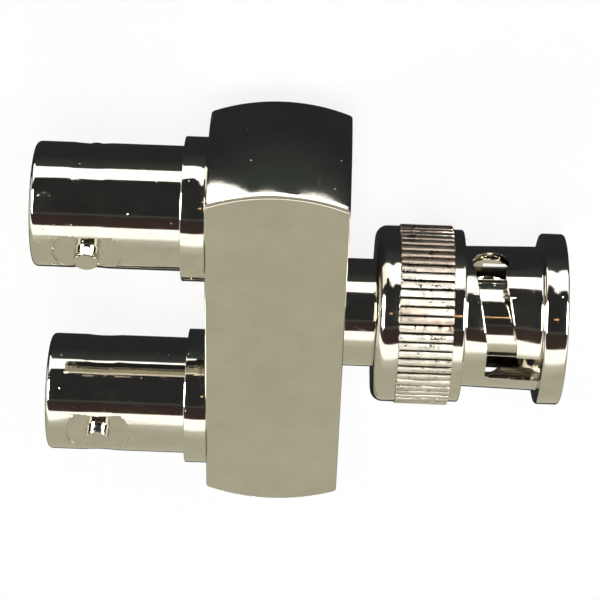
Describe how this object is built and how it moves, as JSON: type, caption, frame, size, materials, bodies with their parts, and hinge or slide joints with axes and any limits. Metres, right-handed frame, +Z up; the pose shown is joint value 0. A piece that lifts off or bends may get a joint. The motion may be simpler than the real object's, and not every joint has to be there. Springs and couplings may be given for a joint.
{
  "type": "bnc t connector",
  "caption": "Nickel-plated coaxial splitter: a domed square block with bayonet jacks side by side on one face and a bayonet plug with a turning knurled nut on the other.",
  "frame": {"origin": "centre of the plug's centre pin where it leaves its insulator", "axes": "+X along the plug's axis, out of the plug; +Y from the lower jack to the upper jack; +Z up, away from the flat face that the part lies on"},
  "size_m": [0.0413, 0.0368, 0.0144],
  "materials": {
    "nickel_plate": "bright nickel plate",
    "gold_plate": "gold plate",
    "white_insulator": "white fluoropolymer",
    "silicone": "silicone",
    "spring_steel": "spring steel",
    "bus_brass": "turned brass"
  },
  "bodies": {
    "adapter": {"body_block": "nickel_plate", "cross_bore_plug": "nickel_plate", "centre_bus": "bus_brass", "bus_insulator": "white_insulator", "plug_body": "nickel_plate", "plug_outer_contact": "nickel_plate", "plug_insulator": "white_insulator", "plug_pin": "gold_plate", "plug_rear_insulator": "white_insulator", "plug_gasket": "silicone", "wave_washer": "spring_steel", "upper_jack_shell": "nickel_plate", "upper_jack_insulator": "white_insulator", "upper_jack_contact": "gold_plate", "upper_jack_rear_insulator": "white_insulator", "lower_jack_shell": "nickel_plate", "lower_jack_insulator": "white_insulator", "lower_jack_contact": "gold_plate", "lower_jack_rear_insulator": "white_insulator"},
    "thrust_ring": {"thrust_washer": "spring_steel"},
    "nut": {"coupling_nut": "nickel_plate"}
  },
  "joints": [
    {"name": "nut_slide", "type": "slide", "parent": "adapter", "child": "thrust_ring", "axis": [1, 0, 0], "range_m": [0, 0.0006], "stiffness_N_per_m": 2000, "deforming": ["wave_washer"]},
    {"name": "nut_spin", "type": "hinge", "parent": "thrust_ring", "child": "nut", "pos_m": [0, 0, 0], "axis": [1, 0, 0], "continuous": true}
  ]
}
